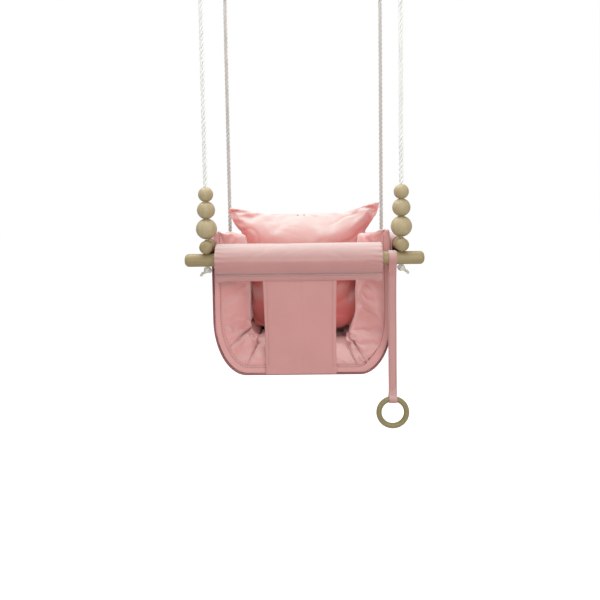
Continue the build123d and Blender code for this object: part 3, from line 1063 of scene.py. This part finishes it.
def keep_clear(piece):
    """Hold the liner behind the guard and panel, in front of its back pad and off the tunnels."""
    for vertex in piece.data.vertices:
        place = vertex.co
        behind_guard = place.z > SEAT_Z + GUARD_REACH * MM
        behind_panel = abs(place.x) < PANEL_REACH * MM
        proud = 2.0 if behind_guard or behind_panel else 6.0
        place.y = max(place.y, (LINER_FRONT - proud) * MM)
        place.y = min(place.y, (LINER_BACK + 0.4) * MM)
        for side in SIDES.values():
            away = place - Vector((side * ROPE_X, place.y, SEAT_Z))
            if away.length < TUNNEL_CLEAR:
                place += away.normalized() * (TUNNEL_CLEAR - away.length)
    piece.data.update()


def make_liner():
    """One padded U: sides, corners and seat in a single cover, with a flat sewn border in front."""
    stations = u_stations(side_steps=36, corner_steps=44, floor_steps=48)
    section_loop = liner_section()
    rows = liner_rows(stations, section_loop)
    piece = grid("liner_cushion", rows, LINER_CLOTH, wrap_columns=True, caps=True)
    n_columns = len(section_loop)
    insets = [inset for inset, _ in section_loop]

    def pinned(_, index):
        if index >= len(stations) * n_columns:
            return 0.0
        row, column = divmod(index, n_columns)
        if insets[column] <= FLANGE + 0.1:
            return 1.0
        return 0.8 if seam_share(stations[row]) > SEAM_AT else 0.0

    inflate(piece, pressure=4.5, slack=0.08, pinned=pinned, cap=9.0 * MM)
    subdivide(piece)

    middle = n_columns // 2
    along = [0.0]
    for before, after in zip(rows, rows[1:]):
        along.append(along[-1] + (after[middle] - before[middle]).length)
    seams_at = [v for v, station in zip(along, stations) if seam_share(station) > 0.86]
    seam_u = (FLANGE + 1.5) * MM

    def wrinkles(u, v, place):
        past = smoothstep(seam_u - 1 * MM, seam_u + 4 * MM, u)
        near = math.exp(-(((u - seam_u) / MM - 9) / 9) ** 2)
        gather = near * 0.45 * math.sin(v / (2.1 * MM) + 6 * ripple(place, 0.03, 1.0))
        sewn = sum(math.exp(-abs(v - seam) / (1.6 * MM)) for seam in seams_at)
        dents = 1.9 * folds(place, 0.055, 2.0) + 0.8 * folds(place, 0.025, 7.0)
        swell = 2.0 * ripple(place, 0.05, 3.0)
        return past * (gather + swell - dents - 1.4 * min(sewn, 1.0)) * MM

    crease(piece, wrinkles)
    keep_clear(piece)
    attach(piece, "liner", "liner_fabric",
           "liner_seat_pad", "liner_left_pad", "liner_right_pad", "liner_front_border")
    seams = []
    for turn in LINER_SEAMS:
        path = []
        for inset, y in section_loop[9:28]:
            padded = (inset - FLANGE) / (PAD - FLANGE)
            x, z = u_point(("corner", turn, None), LINER_GAP + inset - SEAM_DEPTH * padded, 0.0)
            path.append(seat(x, y, z))
        seams.append(stitches("corner_seam", path, piece, length=3.2 * MM, gap=1.0 * MM))
    attach(join("liner_corner_stitching", seams), "liner", "liner_fabric")
    line = u_line(LINER_FRONT - 6.0, LINER_GAP + FLANGE - 0.4, rim_height(LINER_FRONT), stations[2:-2])
    seam = stitches("liner_border_stitching", line, piece, length=3.4 * MM, gap=1.0 * MM, radius=0.75 * MM)
    attach(seam, "liner", "liner_fabric")


def make_liner_back():
    """Back pad of the liner, quilted once across, standing between the sides."""
    low, high = corners("liner_back_pad")
    middle_y, half_depth = (low.y + high.y) / 2, (high.y - low.y) / 2
    columns, levels = 44, 40
    loops = []
    for i in range(levels + 1):
        v = i / levels
        front, back = [], []
        for j in range(columns + 1):
            u = j / columns
            edge = min(u, 1 - u, v, 1 - v)
            puff = math.sqrt(1 - (1 - min(edge / 0.12, 1.0)) ** 2)
            z = low.z + 3 * MM + (high.z - low.z - 3 * MM) * v
            half = min(back_half_width((z - SEAT_Z) / MM) - 4.0, 143.0)
            x = MM * (MIDDLE_X * (1 - v) + half * (2 * u - 1))
            seam = 1 - 0.6 * math.exp(-((v - 0.52) / 0.02) ** 2)
            reach = half_depth * puff * seam
            front.append(Vector((x, middle_y - reach, z)))
            back.append(Vector((x, middle_y + reach * 0.9, z)))
        loops.append(front + back[::-1])
    piece = closed_strip("liner_back_cushion", loops, columns + 1, LINER_CLOTH)
    subdivide(piece)
    attach(piece, "liner", "liner_fabric", "liner_back_pad")


make_liner()
make_liner_back()


# --- Pillow ---
def make_pillow():
    """Loose square pillow: pinched between the liner's sides, its two top corners spread."""
    low, high = corners("back_pillow")
    bottom, tip = (low.z - SEAT_Z) / MM, (high.z - SEAT_Z) / MM
    front_y, back_y = low.y / MM, high.y / MM
    middle_y = (front_y + back_y) / 2
    steps = 56

    def outline(u, v):
        """Place in the pillow's own plane; u and v run from -1 to 1."""
        rise = smoothstep(0.25, 1.0, v)
        half = 110.0 + 4.0 * smoothstep(-0.2, 0.4, v) + 37.0 * rise ** 1.15
        half -= 8.0 * smoothstep(0.7, 1.0, -v)
        top = 51.0 + (tip - (49.0 if u > 0 else 56.0)) * smoothstep(0.45, 1.0, abs(u))
        floor = bottom - 5.0 + 9.0 * abs(u) ** 3
        z = floor + (top - floor) * (v + 1) / 2
        return u * half - 2.0, z

    loops = []
    for i in range(steps + 1):
        v = -math.cos(math.pi * i / steps)
        front, back = [], []
        for j in range(steps + 1):
            u = -math.cos(math.pi * j / steps)
            x, z = outline(u, v)
            dome = ((1 - abs(u) ** 2.6) * (1 - abs(v) ** 3.0)) ** 0.5
            reach = 3.0 + (back_y - front_y - 14.0) / 2 * dome
            lean = 6.0 * (1 - v)
            front.append(seat(x, middle_y + 4 - lean - reach, z))
            back.append(seat(x, middle_y + 4 + reach * 0.8, z))
        loops.append(front + back[::-1])
    piece = closed_strip("back_pillow_cushion", loops, steps + 1, PILLOW_CLOTH)
    width = 2 * (steps + 1)

    def pinned(_, index):
        row, column = divmod(index, width)
        edge = column in (0, steps, steps + 1, width - 1) or row in (0, steps)
        return 0.8 if edge else 0.0

    inflate(piece, pressure=3.0, slack=0.05, pinned=pinned, cap=12.0 * MM, stiffness=10.0)
    subdivide(piece)

    def wrinkles(_, __, place):
        dents = 1.5 * folds(place, 0.06, 1.0) + 0.6 * folds(place, 0.025, 3.0)
        return (1.2 * ripple(place, 0.05, 4.0) - dents) * MM

    crease(piece, wrinkles)
    press_between(piece, seat(-2, middle_y, -75), ("liner_cushion", "liner_back_cushion"))
    opening = [seat(-14, 45, 60), seat(6, 45, 60)]
    closing = stitches("pillow_closing_stitches", opening, piece, radius=0.8 * MM)
    attach(closing, "pillow", "pillow_fabric")
    attach(piece, "pillow", "pillow_fabric", "back_pillow")


make_pillow()


# --- Guard ---
def guard_loop(x, share):
    """Closed loop of the guard's cover across the rail, at one place along it."""
    low, high = corners("guard_cover")
    outer = high.z - RAIL_Z
    hang = (low.z - SEAT_Z) / MM
    end = min(share, 1 - share)
    flare = 2.2 * (1 - smoothstep(0.0, 0.06, end))
    leaves, returns = math.radians(-124), math.radians(-104)
    loop = []
    steps = 56
    for k in range(steps + 1):
        angle = returns + (2 * math.pi + leaves - returns) * k / steps
        point = Vector((x, -ROPE_Y + outer * math.cos(angle), RAIL_Z + outer * math.sin(angle)))
        drawn_out = Vector((x * 0.35, point.y, point.z))
        swell = ripple(drawn_out, 0.03, 4.0) * 0.8 + ripple(point, 0.012, 6.0) * 0.2
        sag = 0.8 * math.sin(math.pi * share) * (math.sin(angle) < 0)
        radial = Vector((0, math.cos(angle), math.sin(angle)))
        loop.append(point + radial * (swell + sag - 0.6) * MM)
    wave = ripple(Vector((x, 0, 0)), 0.05, 8.0) * 0.9
    foot = hang - flare
    front_ply = [(-12.2, -45.3), (-12.0, -46.3), (-14.9, -47.2), (-15.2, -48.4), (-15.0, -52),
                 (-14.4 - wave * 0.6, foot + 1.2), (-12.6, foot + 0.4)]
    back_ply = [(-11.8, foot + 2.0), (-11.0, foot + 0.4), (-9.0 - wave * 0.3, foot + 1.0),
                (-8.2, -53), (-7.6, -49.0)]
    for y, z in front_ply + back_ply:
        loop.append(seat(x / MM, -ROPE_Y / MM + y, z))
    return loop


def make_guard():
    """Cover of the guard: a tight sleeve with a flat two-ply flange sewn under it."""
    low, high = corners("guard_cover")
    steps = 60
    rows = []
    for i in range(steps + 1):
        share = i / steps
        rows.append(guard_loop(low.x + (high.x - low.x) * share, share))
    caps = []
    for x, outward in ((low.x, -1), (high.x, 1)):
        hub = Vector((x, -ROPE_Y, RAIL_Z))
        ring = guard_loop(x, 0.0 if outward < 0 else 1.0)
        for size, stand in ((0.97, 0.8), (0.75, 1.1), (0.46, 0.7)):
            caps.append([hub + (p - hub) * size + Vector((outward * stand * MM, 0, 0)) for p in ring])
    rows = caps[2::-1] + rows + caps[3:]
    piece = grid("guard_cover_cloth", rows, GUARD_CLOTH, wrap_columns=True)
    subdivide(piece)

    def wrinkles(u, _, place):
        at_end = math.exp(-min(place.x - low.x, high.x - place.x) / (14 * MM))
        tucks = 0.5 * at_end * math.sin(u / (1.4 * MM) + 3 * ripple(place, 0.02, 2.0))
        return (tucks - 0.5 * folds(Vector((place.x * 0.5, place.y, place.z)), 0.03, 9.0)) * MM

    crease(piece, wrinkles)
    attach(piece, "seat", "guard_fabric", "guard_cover")
    y = -ROPE_Y / MM
    line = [seat(x, y - 22, -48.8) for x in range(int(low.x / MM) + 2, int(high.x / MM) - 1, 4)]
    attach(stitches("guard_stitching", line, piece, radius=0.6 * MM), "seat", "guard_fabric")


def make_crotch_panel():
    """Flat panel between the leg holes, with folded edges."""
    low, high = corners("crotch_panel")
    left, right = low.x / MM, high.x / MM
    top = (-ROPE_Y / MM - 10.0, -52.0)
    bottom = (high.y / MM - 1.8, (low.z - SEAT_Z) / MM + 1.5)
    levels, columns = 44, 34
    rows = []
    for i in range(levels + 1):
        v = i / levels
        y = top[0] + (bottom[0] - top[0]) * v ** 1.05
        z = top[1] + (bottom[1] - top[1]) * v
        row = []
        for j in range(columns + 1):
            u = j / columns
            narrow = 1.2 * math.sin(math.pi * v)
            x = left + narrow + (right - left - 2 * narrow) * u
            point = seat(x, y, z)
            bulge = 2.0 * math.sin(math.pi * v) * math.sin(math.pi * u) + ripple(point, 0.05, 1.0) * 0.8
            fold = 0.7 * math.exp(-((u - 0.5) / 0.012) ** 2)
            point.y -= (bulge - fold) * MM
            row.append(point)
        rows.append(row)

    def thickness(_, j):
        edge = min(j, columns - j) * (right - left) / columns
        return (2.2 + 1.0 * (1 - smoothstep(6, 10, edge))) * MM

    piece = thick_grid("crotch_panel_cloth", rows, thickness, PANEL_CLOTH)
    subdivide(piece)
    attach(piece, "seat", "guard_fabric", "crotch_panel")
    seams = []
    for x in (left + 7.5, right - 7.5):
        line = [seat(x, -160, z) for z in range(-62, int(FLOOR_Z) + 4, -4)]
        seams.append(stitches("panel_seam", line, piece))
    attach(join("crotch_panel_stitching", seams), "seat", "guard_fabric")


make_guard()
make_crotch_panel()


# --- Teether strap ---
def make_strap():
    """Doubled cotton strap: a loop round the front rail, one through the teether."""
    low, high = corners("teether_strap")
    ring = corners("teether_ring")
    ring_thickness = (ring[1].y - ring[0].y) / MM
    top = ((RAIL_Z - SEAT_Z) / MM, RAIL_R / MM + 1.1)
    foot_z = (ring[1].z - SEAT_Z) / MM - ring_thickness / 2
    foot = (foot_z, ring_thickness / 2 + 2.2)
    y0 = -ROPE_Y / MM
    path = []

    def arc(centre_z, radius, start, end, steps):
        for k in range(steps + 1):
            angle = math.radians(start + (end - start) * k / steps)
            path.append((y0 + radius * math.cos(angle), centre_z + radius * math.sin(angle)))

    neck, throat = top[0] - 26, foot_z + 17     # where the two plies meet, above and below
    length = neck - throat
    levels = 26
    arc(top[0], top[1], -58, 238, 30)
    path.append((y0 - 1.2, neck))
    for k in range(1, levels + 1):
        path.append((y0 - 1.0, neck - length * k / levels))
    arc(foot[0], foot[1], 118, 422, 24)
    for k in range(levels + 1):
        path.append((y0 + 1.0, throat + length * k / levels))
    rows = []
    half = (high.x - low.x) / 2
    middle = (high.x + low.x) / 2
    for i, (y, z) in enumerate(path):
        sway = ripple(Vector((0, 0, z * MM)), 0.09, 2.0) * 0.5
        row = []
        for k in range(9):
            across = -1 + 2 * k / 8
            curl = 0.35 * (1 - across**2)
            row.append(seat((middle + half * across) / MM + sway, y - curl, z))
        rows.append(row)
    rows.append([p.copy() for p in rows[0]])

    def thickness(_, j):
        return (0.9 if j in (0, 8) else 1.15) * MM

    piece = thick_grid("teether_strap_cloth", rows, thickness, STRAP_CLOTH)
    subdivide(piece)
    attach(piece, "strap", "strap_webbing", "teether_strap")
    seams = []
    for x in (middle / MM - 5.2, middle / MM + 5.2):
        line = [seat(x, y0 - 6, z) for z in range(int(top[0]) - 29, int(foot_z) + 18, -4)]
        seams.append(stitches("strap_seam", line, piece))
    for z in (top[0] - 27, foot_z + 18):
        line = [seat(x, y0 - 6, z) for x in (middle / MM - 5.5, middle / MM, middle / MM + 5.5)]
        seams.append(stitches("strap_bar", line, piece))
    attach(join("teether_strap_stitching", seams), "strap", "strap_webbing")


make_strap()


# --- Floor and light ---
def make_floor():
    """Plain pale floor under the swing, kept white to the eye but dim as a lamp."""
    mesh = bpy.data.meshes.new("floor")
    size, z = 12.0, CAD_BOX[0][2] - 0.32
    places = [(-size, -size, z), (size, -size, z), (size, size, z), (-size, size, z)]
    mesh.from_pydata(places, [], [(0, 1, 2, 3)])
    material, tree, shader, _ = new_material("floor", {
        "Roughness": 0.9, "Base Color": (0.6, 0.6, 0.6, 1), "Emission Color": (*WHITE, 1)})
    seen = add_node(tree, "LightPath", {}, "Is Camera Ray")
    feed(tree, shader, {"Emission Strength": add_math(tree, "MULTIPLY", seen, 0.68)})
    new_object("floor", mesh, material)


def area_light(name, place, target, size, power):
    """Square soft light aimed at a point."""
    data = bpy.data.lights.new(name, "AREA")
    data.size = size
    data.energy = power
    lamp = linked(name, data)
    aim = (Vector(target) - Vector(place)).to_track_quat("-Z", "Y").to_matrix().to_4x4()
    lamp.matrix_world = Matrix.Translation(place) @ aim


def make_light():
    """White room, with a large soft light overhead and a weak one in front."""
    world = bpy.data.worlds.new("studio")
    bpy.context.scene.world = world
    world.use_nodes = True
    tree = world.node_tree
    seen = add_node(tree, "LightPath", {}, "Is Camera Ray")
    feed(tree, tree.nodes["Background"], {
        "Color": (*WHITE, 1), "Strength": add_math(tree, "MAXIMUM", seen, 0.55)})
    area_light("overhead", (-0.2, 0.08, 0.6), (0, -0.02, SEAT_Z), size=1.5, power=26)
    area_light("front", (0.4, -1.8, -0.2), (0, 0, SEAT_Z), size=1.2, power=14)
    bpy.context.scene.view_settings.view_transform = "Standard"


make_floor()
make_light()
